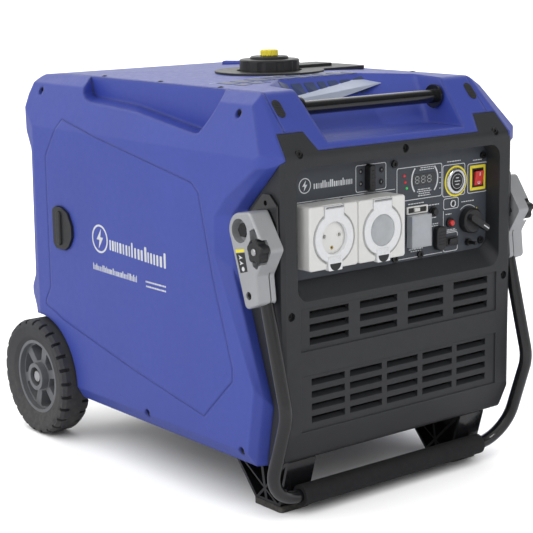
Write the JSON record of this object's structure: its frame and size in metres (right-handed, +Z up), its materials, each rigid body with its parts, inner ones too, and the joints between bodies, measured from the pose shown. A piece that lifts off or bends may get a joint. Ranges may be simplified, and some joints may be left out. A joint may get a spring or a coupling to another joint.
{
  "type": "inverter generator",
  "caption": "Wheeled inverter generator with a closed two-tone housing, recessed control panel, weatherproof outlets, fold-down tow handle, grab bar and two solid wheels.",
  "frame": {"origin": "on the ground, at the middle of the overall length and width, with the handle folded down", "axes": "+X to the right as seen from the control panel, +Y from the control panel back to the wheels, +Z up"},
  "size_m": [0.6172, 0.8382, 0.7252],
  "materials": {
    "shell_blue": "fine moulded texture, satin",
    "frame_black": "fine moulded texture, matt",
    "panel_grey": "matt powder coat",
    "trim_black": "moulded, satin",
    "bar_black": "black powder coat, semi gloss",
    "knob_yellow": "moulded, satin",
    "tank_steel": "satin paint",
    "engine_cast": "as cast",
    "steel": "turned",
    "copper": "wound copper wire",
    "exhaust_steel": "heat stained sheet",
    "cast_aluminium": "die cast, fine blasted",
    "hub_black": "moulded, satin",
    "tyre": "moulded solid rubber",
    "fastener": "black oxide",
    "rubber": "moulded",
    "grip_foam": "matt foam",
    "outlet_white": "moulded, semi gloss",
    "outlet_grey": "moulded, semi gloss",
    "clear_cover": "clear moulded plastic",
    "button_blue": "moulded",
    "button_red": "moulded",
    "brass": "plated"
  },
  "bodies": {
    "housing": {"air_filter_box": "trim_black", "alternator_stator": "copper", "axle_brackets": "bar_black", "axle_nuts": "fastener", "base_pan": "frame_black", "battery": "trim_black", "breaker_body": "outlet_white", "carburettor": "cast_aluminium", "control_panel": "panel_grey", "cover_screws": "fastener", "cylinder_head": "engine_cast", "earth_terminal": "brass", "engine_block": "engine_cast", "filler_surround": "trim_black", "foot_pads": "rubber", "front_frame": "frame_black", "front_legs": "frame_black", "fuel_tank": "tank_steel", "grab_bar": "bar_black", "handle_mounts": "bar_black", "inverter_module": "cast_aluminium", "left_side_cover": "shell_blue", "muffler": "exhaust_steel", "outlet_flat_pin": "outlet_white", "outlet_round_pin": "outlet_white", "pivot_bolts": "fastener", "rear_cover": "frame_black", "right_side_cover": "shell_blue", "top_cover": "shell_blue", "wheel_axle": "steel"},
    "handle": {"handle_tube": "bar_black", "handle_grip": "grip_foam", "handle_bracket_left": "cast_aluminium", "handle_bracket_right": "cast_aluminium", "clamp_screws": "fastener"},
    "lock_knob_left": {"lock_knob_left": "trim_black"},
    "lock_knob_right": {"lock_knob_right": "trim_black"},
    "wheel_left": {"tyre_left": "tyre", "wheel_hub_left": "hub_black"},
    "wheel_right": {"tyre_right": "tyre", "wheel_hub_right": "hub_black"},
    "fuel_cap": {"fuel_cap": "trim_black"},
    "vent_knob": {"vent_knob": "knob_yellow"},
    "service_door": {"service_door": "shell_blue"},
    "door_latch": {"door_latch": "trim_black"},
    "flap_round_pin": {"flap_round_pin": "outlet_grey"},
    "flap_flat_pin": {"flap_flat_pin": "outlet_grey"},
    "breaker_lever": {"breaker_lever": "trim_black"},
    "breaker_button": {"breaker_button": "button_blue"},
    "breaker_cover": {"breaker_cover": "clear_cover"},
    "start_button": {"start_button": "trim_black"},
    "reset_button": {"reset_button": "button_red"},
    "overload_button": {"overload_button": "trim_black"},
    "engine_switch": {"engine_switch": "button_red"},
    "eco_switch": {"eco_switch": "trim_black"},
    "mode_dial": {"mode_dial": "trim_black"},
    "dc_socket_cap": {"dc_socket_cap": "trim_black"},
    "port_cap": {"port_cap": "trim_black"},
    "engine_shaft": {"crankshaft": "steel", "alternator_rotor": "engine_cast"}
  },
  "joints": [
    {"name": "handle_swing", "type": "hinge", "parent": "housing", "child": "handle", "pos_m": [0, -0.33291, 0.475], "axis": [-1, 0, 0], "range_deg": [0, 95]},
    {"name": "lock_knob_left_turn", "type": "hinge", "parent": "handle", "child": "lock_knob_left", "pos_m": [-0.296, -0.37491, 0.448], "axis": [-1, 0, 0], "range_deg": [0, 360]},
    {"name": "lock_knob_right_turn", "type": "hinge", "parent": "handle", "child": "lock_knob_right", "pos_m": [0.296, -0.37491, 0.448], "axis": [1, 0, 0], "range_deg": [0, 360]},
    {"name": "wheel_left_spin", "type": "hinge", "parent": "housing", "child": "wheel_left", "pos_m": [-0.2776, 0.30909, 0.11], "axis": [1, 0, 0], "continuous": true},
    {"name": "wheel_right_spin", "type": "hinge", "parent": "housing", "child": "wheel_right", "pos_m": [0.2776, 0.30909, 0.11], "axis": [1, 0, 0], "continuous": true},
    {"name": "fuel_cap_turn", "type": "hinge", "parent": "housing", "child": "fuel_cap", "pos_m": [0, -0.03791, 0.7], "axis": [0, 0, 1], "range_deg": [0, 120]},
    {"name": "vent_knob_turn", "type": "hinge", "parent": "fuel_cap", "child": "vent_knob", "pos_m": [0, -0.03791, 0.715], "axis": [0, 0, 1], "range_deg": [0, 90]},
    {"name": "service_door_lift_off", "type": "slide", "parent": "housing", "child": "service_door", "axis": [-1, 0, 0], "range_m": [0, 0.12]},
    {"name": "door_latch_pull", "type": "hinge", "parent": "service_door", "child": "door_latch", "pos_m": [-0.288, 0.24659, 0.407], "axis": [0, 0, -1], "range_deg": [0, 40]},
    {"name": "flap_round_pin_lift", "type": "hinge", "parent": "housing", "child": "flap_round_pin", "pos_m": [-0.16, -0.39691, 0.506], "axis": [-1, 0, 0], "range_deg": [0, 110]},
    {"name": "flap_flat_pin_lift", "type": "hinge", "parent": "housing", "child": "flap_flat_pin", "pos_m": [-0.058, -0.39691, 0.506], "axis": [-1, 0, 0], "range_deg": [0, 110]},
    {"name": "breaker_lever_throw", "type": "hinge", "parent": "housing", "child": "breaker_lever", "pos_m": [0.041, -0.35891, 0.432], "axis": [-1, 0, 0], "range_deg": [0, 30]},
    {"name": "breaker_button_press", "type": "slide", "parent": "housing", "child": "breaker_button", "axis": [0, 1, 0], "range_m": [0, 0.0015]},
    {"name": "breaker_cover_open", "type": "hinge", "parent": "housing", "child": "breaker_cover", "pos_m": [0.0334, -0.35591, 0.432], "axis": [0, 0, -1], "range_deg": [0, 90]},
    {"name": "start_button_press", "type": "slide", "parent": "housing", "child": "start_button", "axis": [0, 1, 0], "range_m": [0, 0.003]},
    {"name": "reset_button_press", "type": "slide", "parent": "housing", "child": "reset_button", "axis": [0, 1, 0], "range_m": [0, 0.0025]},
    {"name": "overload_button_press", "type": "slide", "parent": "housing", "child": "overload_button", "axis": [0, 1, 0], "range_m": [0, 0.0025]},
    {"name": "engine_switch_rock", "type": "hinge", "parent": "housing", "child": "engine_switch", "pos_m": [0.202, -0.35291, 0.509], "axis": [-1, 0, 0], "range_deg": [0, 20]},
    {"name": "eco_switch_rock", "type": "hinge", "parent": "housing", "child": "eco_switch", "pos_m": [0.141, -0.35291, 0.406], "axis": [-1, 0, 0], "range_deg": [0, 24]},
    {"name": "mode_dial_turn", "type": "hinge", "parent": "housing", "child": "mode_dial", "pos_m": [0.179, -0.36391, 0.4385], "axis": [0, -1, 0], "range_deg": [0, 120]},
    {"name": "dc_socket_cap_lift", "type": "hinge", "parent": "housing", "child": "dc_socket_cap", "pos_m": [0.1075, -0.35431, 0.437], "axis": [-1, 0, 0], "range_deg": [0, 90]},
    {"name": "port_cap_swing", "type": "hinge", "parent": "housing", "child": "port_cap", "pos_m": [-0.058, -0.35431, 0.535], "axis": [0, 0, -1], "range_deg": [0, 90]},
    {"name": "engine_shaft_spin", "type": "hinge", "parent": "housing", "child": "engine_shaft", "pos_m": [0, -0.08391, 0.262], "axis": [0, 1, 0], "continuous": true}
  ]
}
